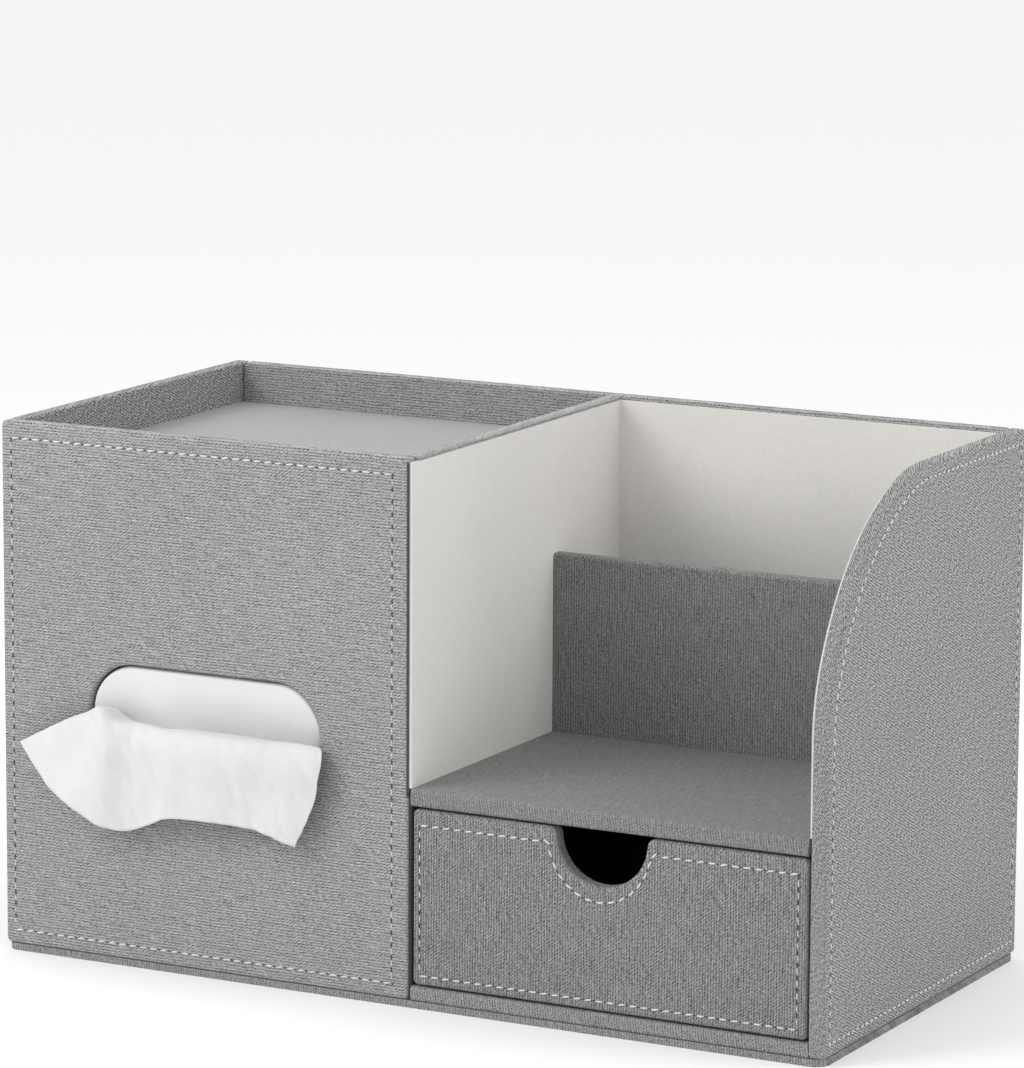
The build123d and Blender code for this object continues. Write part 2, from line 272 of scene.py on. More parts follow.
@dataclass(frozen=True)
class LeatherCloth(Finish):
    """Grey leather cloth with an embossed linen weave."""

    lie: Lie
    grain: Grain
    colour: Colour
    contrast: float = 1.0
    drift_cell: float = 14.0
    drift_reach: tuple[float, float] = (0.5, 0.6)
    gather_cell: tuple[float, float] = (2.6, 1.6)
    gather_swing: float = 1.6
    gather_mean: float = 0.9
    rib: float = 0.82
    rib_depth: float = 0.24
    slub_run: float = 6.0
    slub_width: float = 0.5
    slub_depth: float = 0.8
    twill: float = 0.78
    twill_depth: float = 0.16
    tick_run: float = 1.2
    tick_width: float = 0.38
    tick_depth: float = 1.7
    fleck: float = 0.42
    cloud: float = 60.0
    cloud_depth: float = 0.16
    darkest: float = 0.2
    relief: float = 0.12

    def sockets(self, graph: Graph) -> Sockets:
        """Ribs with slubs both ways, a twill with ticks, flecks and broad clouds."""
        place = graph.position()
        across, up = self.lie.axes(place)
        drift = graph.noise(across / self.drift_cell, up / self.drift_cell, 3.0)
        across = across + drift * self.drift_reach[0]
        up = up + drift * self.drift_reach[1]
        level_share, upright_share, twill_share, lean = self.grain.value
        wide, tall = self.gather_cell
        gather = graph.noise(across / wide, up / tall, 5.0) * self.gather_swing + self.gather_mean
        run, width, depth = self.slub_run, self.slub_width, self.slub_depth
        level = (up * (FULL_TURN / self.rib)).sine() * self.rib_depth * gather
        level = level + graph.noise(across / run, up / width, 1.0) * depth
        upright = (across * (FULL_TURN / self.rib)).sine() * self.rib_depth * gather
        upright = upright + graph.noise(across / width, up / run, 7.0) * depth
        cosine, sine = math.cos(math.radians(lean)), math.sin(math.radians(lean))
        along = across * cosine + up * sine
        beside = up * cosine - across * sine
        twill = (beside * (FULL_TURN / self.twill)).sine() * self.twill_depth * gather
        ticks = graph.noise(along / self.tick_run, beside / self.tick_width, 2.0, detail=1.0)
        twill = twill + ticks * self.tick_depth
        flecks = graph.noise(across / self.fleck, up / self.fleck, 11.0, detail=1.0)
        cloud = graph.even_noise(place, self.cloud)
        weave = level * level_share + upright * upright_share + twill * twill_share + flecks
        shade = (weave * self.contrast + cloud * self.cloud_depth + 1.0).at_least(self.darkest)
        return {
            "Base Color": graph.tint(self.colour, shade),
            "Roughness": weave * -0.1 + 0.68,
            "Normal": graph.bump(weave, 0.45, self.relief),
            "Specular IOR Level": 0.35,
            "Sheen Weight": 0.1,
            "Sheen Roughness": 0.5,
        }


@dataclass(frozen=True)
class LiningCloth(Finish):
    """A thin plain cloth glued on a wall."""

    lie: Lie
    colour: Colour
    contrast: float = 0.12
    roughness: float = 0.85
    thread_run: float = 3.5
    thread_width: float = 0.5
    cloud: float = 45.0

    def sockets(self, graph: Graph) -> Sockets:
        """Threads both ways under a broad cloud."""
        across, up = self.lie.axes(graph.position())
        run, width = self.thread_run, self.thread_width
        relief = graph.noise(across / run, up / width, 2.0) + graph.noise(across / width, up / run, 5.0)
        cloud = graph.noise(across / self.cloud, up / self.cloud, 9.0)
        return {
            "Base Color": graph.tint(self.colour, relief * self.contrast + cloud * 0.12 + 1.0),
            "Roughness": relief * -0.08 + self.roughness,
            "Normal": graph.bump(relief, 0.4, 0.12),
            "Specular IOR Level": 0.25,
            "Sheen Weight": 0.15,
        }


@dataclass(frozen=True)
class Felt(Finish):
    """Short dense fibres that lie every way."""

    colour: Colour
    fibre: float = 0.5
    patch: float = 18.0

    def sockets(self, graph: Graph) -> Sockets:
        """Fibres, and patches where they are pressed."""
        place = graph.position()
        fibres = graph.even_noise(place, self.fibre, detail=5.0)
        patches = graph.even_noise(place, self.patch)
        shade = (fibres * 1.6 + patches * 0.5 + 1.0).at_least(0.2)
        return {
            "Base Color": graph.tint(self.colour, shade),
            "Roughness": patches * -0.05 + 0.95,
            "Normal": graph.bump(fibres, 0.7, 0.3),
            "Sheen Weight": 0.35,
            "Specular IOR Level": 0.15,
        }


@dataclass(frozen=True)
class Board(Finish):
    """Pressed board with short fibres and darker specks."""

    colour: Colour
    fibre: tuple[float, float] = (1.2, 0.4)
    speck: float = 0.35

    def sockets(self, graph: Graph) -> Sockets:
        """Fibres that lie level, and specks."""
        x, y, z = place = graph.position()
        run, width = self.fibre
        fibres = graph.noise(x / run, y / run, z / width, detail=4.0)
        specks = graph.even_noise(place, self.speck)
        return {
            "Base Color": graph.tint(self.colour, fibres * 0.5 + specks * 0.4 + 1.0),
            "Roughness": specks * -0.1 + 0.88,
            "Normal": graph.bump(fibres, 0.4, 0.1),
        }


@dataclass(frozen=True)
class PlatedMetal(Finish):
    """Plated or bare steel with fine rubbing marks."""

    colour: Colour
    roughness: float
    mark: tuple[float, float] = (0.25, 6.0)

    def sockets(self, graph: Graph) -> Sockets:
        """Marks that run away from the width."""
        x, y, z = graph.position()
        width, run = self.mark
        marks = graph.noise(x / width, y / run, z / run)
        return {
            "Base Color": graph.tint(self.colour, marks * 0.15 + 1.0),
            "Roughness": marks * 0.2 + self.roughness,
            "Normal": graph.bump(marks, 0.2, 0.03),
            "Metallic": 1.0,
        }


@dataclass(frozen=True)
class TissuePaper(Finish):
    """Soft two-ply paper with a faint crepe, and painted light and shade of soft folds."""

    colour: Colour = (0.63, 0.63, 0.64)
    crepe: tuple[float, float] = (4.0, 0.35)
    fibre: float = 0.6
    under_skin: float = 0.002

    def sockets(self, graph: Graph) -> Sockets:
        """Crepe, fibres and the broad light and dark of folds."""
        x, y, z = place = graph.position()
        run, width = self.crepe
        crepe = graph.noise(x / run, (y + z) / width, 4.0, detail=3.0)
        fibres = graph.even_noise(place, self.fibre, detail=3.0)
        relief = crepe * 0.7 + fibres * 0.5
        # painted light and shade of broad folds, laid into the paper's colour
        painted_fold_shade = graph.noise(x / 16.0 + z / 40.0, y / 12.0, z / 30.0, detail=1.0)
        return {
            "Base Color": graph.tint(self.colour, relief * 0.03 + painted_fold_shade * 0.12 + 1.0),
            "Roughness": fibres * -0.05 + 0.92,
            "Normal": graph.bump(relief, 0.35, 0.15),
            "Specular IOR Level": 0.15,
            "Subsurface Weight": 0.12,
            "Subsurface Radius": (self.under_skin,) * 3,
            "Subsurface Scale": 1.0,
        }


@dataclass(frozen=True)
class SewingThread(Finish):
    """Twisted sewing thread, or the dark dimple that a needle leaves."""

    colour: Colour
    roughness: float = 0.7
    twist: float = 0.32
    wear: float = 5.0

    def sockets(self, graph: Graph) -> Sockets:
        """Strands that wind round every direction, and worn places."""
        x, y, z = place = graph.position()
        strands = ((x + y * 1.3 + z * 0.9) * (FULL_TURN / self.twist)).sine()
        wear = graph.even_noise(place, self.wear)
        return {
            "Base Color": graph.tint(self.colour, strands * 0.1 + wear * 0.5 + 1.0),
            "Roughness": wear * 0.1 + self.roughness,
            "Normal": graph.bump(strands, 0.3, 0.06),
        }


class Palette:
    """Every finish of the organiser, each made once, and the pieces that it covers."""

    def __init__(self) -> None:
        """Builds the materials."""
        self.covers: dict[str, Material] = {}
        front, side, flat = Lie.FRONT, Lie.SIDE, Lie.FLAT
        across, upright, twill, calm = Grain
        faces = ("front_cover", "rear_cover", "flap_cover")
        strip = ("hinge_strip_fixed", "hinge_strip_moving")
        for name, lie, grain, level, contrast, nodes in (
            ("front", front, across, 0.24, 1.4, (*faces, *strip)),
            # drawer: the front's cloth at a darker level, which is painted shade of the lower, recessed
            # drawer front
            ("drawer", front, upright, 0.165, 1.7, ("drawer_front_cover",)),
            # divider: the same cloth darker still, which is painted shade of its place deep in the open
            # bay
            ("divider", front, upright, 0.155, 1.3, ("divider_cover",)),
            ("side", side, twill, 0.21, 1.6, ("left_cover", "right_cover")),
            ("rim", side, across, 0.24, 1.0, ("partition_cover",)),
            # shelf: a darker level of the same cloth, which is painted shade inside the open bay
            ("shelf", flat, upright, 0.165, 1.2, ("shelf_cover",)),
            ("base", flat, upright, 0.2, 1.4, ("bay_floor_cover", "base_cover")),
            ("tray", flat, calm, 0.31, 0.7, ("tray_mat",)),
        ):
            cloth = LeatherCloth(f"cloth_{name}", lie, grain, self.grey(level), contrast)
            self.add(cloth, *nodes)
        self.leather = self.covers["hinge_strip_moving"]
        white, black = (0.64, 0.625, 0.6), self.grey(0.028)
        lining = LiningCloth("white_lining_side", side, white)
        self.add(lining, "partition_lining", "right_lining")
        self.add(LiningCloth("white_lining_rear", front, white), "rear_lining")
        walls = ("bay_lining_left", "bay_lining_right", "left_back_lining", "right_back_lining")
        drawer = ("drawer_side_left", "drawer_side_right", "drawer_bottom")
        self.add(LiningCloth("black_lining_side", side, black, 0.5), *walls, *drawer)
        backs = ("front_back_lining", "rear_back_lining", "flap_lining")
        lining = LiningCloth("black_lining_front", front, black, 0.5)
        self.add(lining, *backs, "drawer_front_lining", "drawer_back")
        self.add(Felt("black_felt", self.grey(0.022)), "drawer_mat", "pocket_mat")
        self.board = self.add(Board("greyboard", (0.36, 0.34, 0.31)))
        self.add(PlatedMetal("nickel_plate", (0.66, 0.65, 0.63), 0.25), "flap_magnets")
        self.add(PlatedMetal("strike_steel", self.grey(0.5), 0.4), "strike_plates")
        self.tissue = self.add(TissuePaper("tissue_paper"), "tissue_pack", "pulled_tissue")
        self.thread = self.add(SewingThread("pale_thread", self.grey(0.62)))
        self.hole = self.add(SewingThread("needle_hole", self.grey(0.045), 0.9))

    def add(self, finish: Finish, *nodes: str) -> Material:
        """Makes a finish.

        Args:
            finish: The finish.
            *nodes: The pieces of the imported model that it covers.

        Returns:
            Its material.
        """
        made = finish.make()
        self.covers.update(dict.fromkeys(nodes, made))
        return made

    def dress(self, nodes: dict[str, Object]) -> None:
        """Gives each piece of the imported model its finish, and bare board to what is left."""
        for name, piece in nodes.items():
            finish = self.covers.get(name, self.board)
            piece.data.materials.clear()
            piece.data.materials.append(finish)
            LOG.info("%s: %s", name, finish.name)

    @staticmethod
    def grey(level: float) -> Colour:
        """A neutral colour of one level."""
        return (level, level, level)


# ---- mesh helpers
def put(mesh: Mesh, name: str, material: Material) -> Object:
    """Makes a piece from a mesh.

    Args:
        mesh: The finished mesh, with its place in its vertices.
        name: The piece's name.
        material: Its finish.

    Returns:
        The linked object.
    """
    mesh.name = name
    mesh.materials.append(material)
    piece = bpy.data.objects.new(name, mesh)
    bpy.context.scene.collection.objects.link(piece)
    return piece


def plain(piece: Object) -> None:
    """Applies a piece's modifiers and shades it smooth.

    Args:
        piece: The object to finish, which is left with a plain mesh.
    """
    bpy.context.view_layer.update()
    graph = bpy.context.evaluated_depsgraph_get()
    piece.data = bpy.data.meshes.new_from_object(piece.evaluated_get(graph), depsgraph=graph)
    piece.modifiers.clear()
    piece.data.name = piece.name
    piece.data.shade_smooth()


def closed(build: bmesh.types.BMesh, name: str) -> Mesh:
    """Ends a build as a mesh of the given name."""
    mesh = bpy.data.meshes.new(name)
    build.to_mesh(mesh)
    build.free()
    return mesh


def thicken(piece: Object, thickness: float) -> None:
    """Gives a sheet its thickness, half of it to each side."""
    thick = piece.modifiers.new("thickness", "SOLIDIFY")
    thick.thickness, thick.offset = thickness, 0.0


def grid_mesh(
    name: str, columns: int, rows: int, surface: Callable[[float, float], Vector]
) -> Mesh:
    """A sheet of quads over a surface.

    Args:
        name: Name of the mesh.
        columns: Number of faces across.
        rows: Number of faces along.
        surface: The place at two shares, across and along, each from 0 to 1.

    Returns:
        The open sheet.
    """
    build = bmesh.new()
    points = [
        [build.verts.new(surface(i / columns, j / rows)) for j in range(rows + 1)]
        for i in range(columns + 1)
    ]
    for i in range(columns):
        for j in range(rows):
            near, far = points[i], points[i + 1]
            build.faces.new((near[j], far[j], far[j + 1], near[j + 1]))
    return closed(build, name)


def smooth_through(keys: Sequence[Vector], share: float) -> Vector:
    """A point on a smooth curve through several points.

    Args:
        keys: The points, in order.
        share: How far along, from 0 to 1.

    Returns:
        The point on the curve.
    """
    place = min(max(share, 0.0), 1.0) * (len(keys) - 1)
    index = min(int(place), len(keys) - 2)
    t = place - index
    before = keys[max(index - 1, 0)]
    start, end = keys[index], keys[index + 1]
    after = keys[min(index + 2, len(keys) - 1)]
    return 0.5 * (
        2 * start
        + (end - before) * t
        + (2 * before - 5 * start + 4 * end - after) * t**2
        + (3 * start - before - 3 * end + after) * t**3
    )


def smooth_step(low: float, high: float, value: float) -> float:
    """A soft rise from 0 at low to 1 at high."""
    share = min(max((value - low) / (high - low), 0.0), 1.0)
    return share * share * (3 - 2 * share)


# ---- stitching
class StitchRow:
    """The node tree that lays stitches, or needle holes, along a route."""

    SIZES = ("Pitch", "Shift", "Length", "Width", "Height", "Slant", "Scatter")

    def __init__(self) -> None:
        """Builds the tree once; each row sets its own inputs."""
        self.tree = bpy.data.node_groups.new("stitch_row", "GeometryNodeTree")
        self.sockets: dict[str, str] = {}
        kinds = dict.fromkeys(self.SIZES, "Float")
        kinds |= {"Panel Normal": "Vector", "Seed": "Int", "Material": "Material"}
        face = self.tree.interface
        face.new_socket("Geometry", in_out="INPUT", socket_type="NodeSocketGeometry")
        for name, kind in kinds.items():
            made = face.new_socket(name, in_out="INPUT", socket_type=f"NodeSocket{kind}")
            self.sockets[name] = made.identifier
        face.new_socket("Geometry", in_out="OUTPUT", socket_type="NodeSocketGeometry")
        self._wire(Graph(self.tree))

    def _turn(self, graph: Graph, given: dict[str, Signal], tangent: Signal) -> Signal:
        """Wires a stitch's turn: along the route, flat on the panel, and leaning a little.

        Args:
            graph: The tree.
            given: The tree's inputs.
            tangent: The route's direction.

        Returns:
            The turn of each stitch.
        """
        align = "FunctionNodeAlignRotationToVector"
        along = graph.node(align, {"Vector": tangent}, axis="X")
        on_panel = {"Rotation": along, "Vector": given["Panel Normal"]}
        flat = graph.node(align, on_panel, axis="Z", pivot_axis="X")
        chance = {2: -1.0, 3: 1.0, "Seed": given["Seed"]}
        lean = graph.node("FunctionNodeRandomValue", chance, out=1, data_type="FLOAT")
        lean = lean * given["Scatter"] + given["Slant"]
        angle = graph.node("FunctionNodeAxisAngleToRotation", {"Axis": (0, 0, 1), "Angle": lean})
        both = {"Rotation": flat, "Rotate By": angle}
        return graph.node("FunctionNodeRotateRotation", both, rotation_space="LOCAL")

    def _wire(self, graph: Graph) -> None:
        """Wires the route, the stitch and its turn to the output."""
        add = graph.node
        source = self.tree.nodes.new("NodeGroupInput")
        given = {socket.name: Signal(graph, socket) for socket in source.outputs}
        tangent = add("GeometryNodeInputTangent")
        route = add("GeometryNodeMeshToCurve", {"Mesh": given["Geometry"]})
        spaced = {"Curve": route, "Length": given["Pitch"]}
        even = add("GeometryNodeResampleCurve", spaced, mode="LENGTH")
        shift = add("ShaderNodeVectorMath", {0: tangent, "Scale": given["Shift"]}, operation="SCALE")
        size = {"X": given["Length"], "Y": given["Width"], "Z": given["Height"]}
        stitches = {
            "Points": add("GeometryNodeSetPosition", {"Geometry": even, "Offset": shift}),
            "Instance": add("GeometryNodeMeshUVSphere", {"Segments": 8, "Rings": 6, "Radius": 0.5}),
            "Rotation": self._turn(graph, given, tangent),
            "Scale": add("ShaderNodeCombineXYZ", size),
        }
        placed = add("GeometryNodeInstanceOnPoints", stitches)
        real = add("GeometryNodeRealizeInstances", {"Geometry": placed})
        dyed = add("GeometryNodeSetMaterial", {"Geometry": real, "Material": given["Material"]})
        add("NodeGroupOutput", {0: dyed})

    def lay(self, name: str, lines: Sequence[Line], values: dict[str, Any]) -> Object:
        """Lays stitches along one or more lines.

        Args:
            name: The piece's name.
            lines: The points of each line.
            values: The tree's inputs by name.

        Returns:
            The rows as a plain mesh.
        """
        points: list[Vector] = []
        edges: list[tuple[int, int]] = []
        for line in lines:
            start = len(points)
            points += line
            edges += [(i, i + 1) for i in range(start, len(points) - 1)]
        route = bpy.data.meshes.new(name)
        route.from_pydata([tuple(p) for p in points], edges, [])
        row = put(route, name, values["Material"])
        nodes = row.modifiers.new("row", "NODES")
        nodes.node_group = self.tree
        for key, value in values.items():
            nodes[self.sockets[key]] = value
        plain(row)
        return row


@dataclass(frozen=True)
class Stitching:
    """Sizes of one kind of sewn row, in metres; the shares are of its pitch."""

    LONG_SHARE = 0.68
    SHORT_SHARE = 0.55
    HOLE_SHARE = 0.46

    suffix: str = "level"
    pitch: float = 3.4 * MM
    length: float = 2.3 * MM
    width: float = 0.52 * MM
    height: float = 0.5 * MM
    hole_length: float = 0.8 * MM
    hole_width: float = 0.5 * MM
    hole_height: float = 0.16 * MM
    slant: float = math.radians(7)
    scatter: float = math.radians(8)
    seed: int = 5

    @staticmethod
    def level(pitch: float) -> Stitching:
        """The long stitches of a level line."""
        return Stitching(pitch=pitch, length=pitch * Stitching.LONG_SHARE)

    @staticmethod
    def upright(pitch: float) -> Stitching:
        """The short thin stitches of an upright line, between longer holes."""
        sizes = {"length": pitch * Stitching.SHORT_SHARE, "width": 0.3 * MM}
        holes = {"hole_length": pitch * Stitching.HOLE_SHARE, "hole_width": 0.6 * MM}
        return Stitching("upright", pitch, seed=9, **sizes, **holes)

    @property
    def thread(self) -> tuple[float, ...]:
        """The sizes of a stitch, in the order of the tree's inputs."""
        return self.pitch, 0.0, self.length, self.width, self.height, self.slant, self.scatter

    @property
    def hole(self) -> tuple[float, ...]:
        """The sizes of a needle hole, half a pitch on."""
        half = self.pitch / 2
        return self.pitch, half, self.hole_length, self.hole_width, self.hole_height, 0.0, 0.0


@dataclass(frozen=True)
class SewnLines:
    """The level and the upright lines of a panel's sewing."""

    level: tuple[Line, ...]
    upright: tuple[Line, ...]


LEVEL_GAP = 0.4 * Stitching.pitch
UPRIGHT_GAP = 0.7 * Stitching.pitch


class Side(Enum):
    """The plane that a row of stitches lies in, and the way out of it."""

    FRONT = (0, 2, 1, -1)
    REAR = (0, 2, 1, 1)
    LEFT = (1, 2, 0, -1)
    RIGHT = (1, 2, 0, 1)

    def point(self, across: float, up: float, level: float) -> Vector:
        """A point on the plane.

        Args:
            across: Place along the plane's level direction.
            up: Height.
            level: Where the plane is.

        Returns:
            The point in the frame.
        """
        place = Vector((0.0, 0.0, 0.0))
        place[self.value[0]], place[self.value[1]], place[self.value[2]] = across, up, level
        return place

    @property
    def normal(self) -> Vector:
        """The way out of the plane."""
        out = Vector((0.0, 0.0, 0.0))
        out[self.value[2]] = self.value[3]
        return out

    def level(self, low: Vector, high: Vector) -> float:
        """The outer face of a box on this side."""
        return (high if self.value[3] > 0 else low)[self.value[2]]


@dataclass(frozen=True)
class Inset:
    """How far a row of stitches runs from each edge of its panel, in metres."""

    left: float
    right: float
    top: float
    bottom: float


def row_corners(node: str, side: Side, inset: Inset) -> Edges:
    """The edges of a row on a panel.

    Args:
        node: The panel's cover.
        side: The side of it that is sewn.
        inset: The row's distance from each edge.

    Returns:
        The low and high places across, the low and high heights, and the face's level.
    """
    low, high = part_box(node)
    along = side.value[0]
    return (
        low[along] + inset.left,
        high[along] - inset.right,
        low.z + inset.bottom,
        high.z - inset.top,
        side.level(low, high),
    )


def upright_lines(side: Side, edges: Edges, left_top: float | None = None) -> tuple[Line, ...]:
    """The two upright lines of a row, which stop a stitch short of the level ones.

    Args:
        side: The sewn side.
        edges: The row's edges, as row_corners gives them.
        left_top: Where the left line ends, if it is lower than the row's top.

    Returns:
        The points of each line.
    """
    left, right, low, high, level = edges
    tops = (high - UPRIGHT_GAP if left_top is None else left_top, high - UPRIGHT_GAP)
    return tuple(
        (side.point(across, low + UPRIGHT_GAP, level), side.point(across, top, level))
        for across, top in zip((left, right), tops)
    )


def rectangle_lines(node: str, side: Side, inset: Inset) -> SewnLines:
    """The sewing of a rectangular panel."""
    edges = row_corners(node, side, inset)
    left, right, low, high, level = edges
    ends = (left + LEVEL_GAP, right - LEVEL_GAP)
    rows = (tuple(side.point(end, z, level) for end in ends) for z in (low, high))
    return SewnLines(tuple(rows), upright_lines(side, edges))


@dataclass(frozen=True)
class CurvedWall:
    """The right wall's rounded front corner, as the wall is cut, in metres."""

    drop: float = 66 * MM
    shoulder_radius: float = 50 * MM
    shoulder_turn: float = math.radians(20)
    steps: int = 12

    def lines(self, node: str, side: Side, inset: float) -> SewnLines:
        """The sewing that follows the wall's outline.

        Args:
            node: The wall's cover.
            side: The sewn side.
            inset: The row's distance from the edge all the way round.

        Returns:
            The lines.
        """
        edges = row_corners(node, side, Inset(inset, inset, inset, inset))
        front, rear, low, high, level = edges
        turn = self.shoulder_turn
        run = self.shoulder_radius * (1 - math.cos(turn) + math.sin(turn))
        middle = (self.drop - run) / (math.cos(turn) - math.sin(turn))
        heading = math.pi / 2
        y, z = front, high + inset - self.drop
        points = [(y, z)]
        shoulder = (self.shoulder_radius, turn)
        for radius, angle in (shoulder, (middle, math.pi / 2 - 2 * turn), shoulder):
            bend = radius - inset
            centre = (y + bend * math.sin(heading), z - bend * math.cos(heading))
            for step in range(1, self.steps + 1):
                now = heading - angle * step / self.steps
                y = centre[0] - bend * math.sin(now)
                z = centre[1] + bend * math.cos(now)
                points.append((y, z))
            heading -= angle
        points.append((rear, high))
        curve = tuple(side.point(p, q, level) for p, q in points)
        bottom = (side.point(front, low, level), side.point(rear, low, level))
        start = curve[0].z - Stitching.pitch
        return SewnLines((curve, bottom), upright_lines(side, edges, start))


@dataclass(frozen=True)
class DrawerRow:
    """The row on the drawer's front, which dips round the finger notch, in metres."""

    inset: Inset = Inset(2.2 * MM, 2.8 * MM, 4.4 * MM, 2.7 * MM)
    notch_half_width: float = 16.0 * MM
    notch_depth: float = 17.9 * MM
    notch_over_row: float = 2.8 * MM
    notch_offset: float = -2.0 * MM
    steps: int = 28

    def lines(self, node: str) -> SewnLines:
        """The sewing of the drawer's front.

        Args:
            node: The drawer front's cover.

        Returns:
            The lines.
        """
        edges = row_corners(node, Side.FRONT, self.inset)
        left, right, low, high, level = edges
        middle = (left + right) / 2 + self.notch_offset
        rise = math.asin(self.notch_over_row / self.notch_depth)
        start, end = left + LEVEL_GAP, right - LEVEL_GAP
        points = [(start, high)]
        for step in range(self.steps + 1):
            angle = rise - math.pi + (math.pi - 2 * rise) * step / self.steps
            across = middle + self.notch_half_width * math.cos(angle)
            up = high + self.notch_over_row + self.notch_depth * math.sin(angle)
            points.append((across, up))
        points.append((end, high))
        top = tuple(Side.FRONT.point(p, q, level) for p, q in points)
        bottom = tuple(Side.FRONT.point(p, low, level) for p in (start, end))
        return SewnLines((top, bottom), upright_lines(Side.FRONT, edges))


class Needlework:
    """All the sewing on the organiser."""

    WALL_PITCH = 3.0 * MM

    def __init__(self, palette: Palette) -> None:
        """Keeps the finishes and builds the tree that lays the rows."""
        self.palette = palette
        self.rows = StitchRow()

    def dress(self) -> None:
        """Sews every panel that has a row."""
        front, left, right, rear = Side.FRONT, Side.LEFT, Side.RIGHT, Side.REAR
        even = Inset(3.8 * MM, 3.8 * MM, 3.8 * MM, 3.8 * MM)
        by_bay = Inset(3.4 * MM, 5.2 * MM, 4.8 * MM, 4.2 * MM)
        under_strip = Inset(3.2 * MM, 3.2 * MM, 13.5 * MM, 3.2 * MM)
        panels = (
            ("front", "carcass", front, rectangle_lines("front_cover", front, by_bay)),
            ("left_wall", "carcass", left, rectangle_lines("left_cover", left, even)),
            ("right_wall", "carcass", right, CurvedWall().lines("right_cover", right, even.left)),
            ("rear_wall", "carcass", rear, rectangle_lines("rear_cover", rear, even)),
            ("drawer_front", "drawer", front, DrawerRow().lines("drawer_front_cover")),
            ("flap", "rear_flap", rear, rectangle_lines("flap_cover", rear, under_strip)),
        )
        for name, body, side, lines in panels:
            pitch = self.WALL_PITCH if side in (left, right) else Stitching.pitch
            for style, rows in (
                (Stitching.level(pitch), lines.level),
                (Stitching.upright(pitch), lines.upright),
            ):
                self.sew(style, name, body, rows, side)

    def sew(
        self, style: Stitching, name: str, body: str, lines: Sequence[Line], side: Side
    ) -> None:
        """Sews lines of stitches and their needle holes on a body.

        Args:
            style: The sizes of both.
            name: What the lines are on.
            body: The body that they ride on.
            lines: The points of each line.
            side: The side that is sewn.
        """
        shared = {"Panel Normal": tuple(side.normal), "Seed": style.seed}
        for what, sizes, material in (
            ("stitches", style.thread, self.palette.thread),
            ("needle_holes", style.hole, self.palette.hole),
        ):
            values = {**dict(zip(StitchRow.SIZES, sizes)), **shared, "Material": material}
            piece = self.rows.lay(f"{name}_{style.suffix}_{what}", lines, values)
            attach(piece, body)
            LOG.info("%s: %d faces on %s", piece.name, len(piece.data.polygons), body)


# ---- tissues
@dataclass
class Piece:
    """A piece that the scene adds, in finishes of one palette."""

    palette: Palette


@dataclass(frozen=True)
class TissueColumn:
    """One line down the pulled sheet, in millimetres: where it leaves, folds and ends."""

    mouth_x: float
    fold: tuple[float, float]
    reach: float
    hem: tuple[float, float]
    hem_reach: float
    belly: float


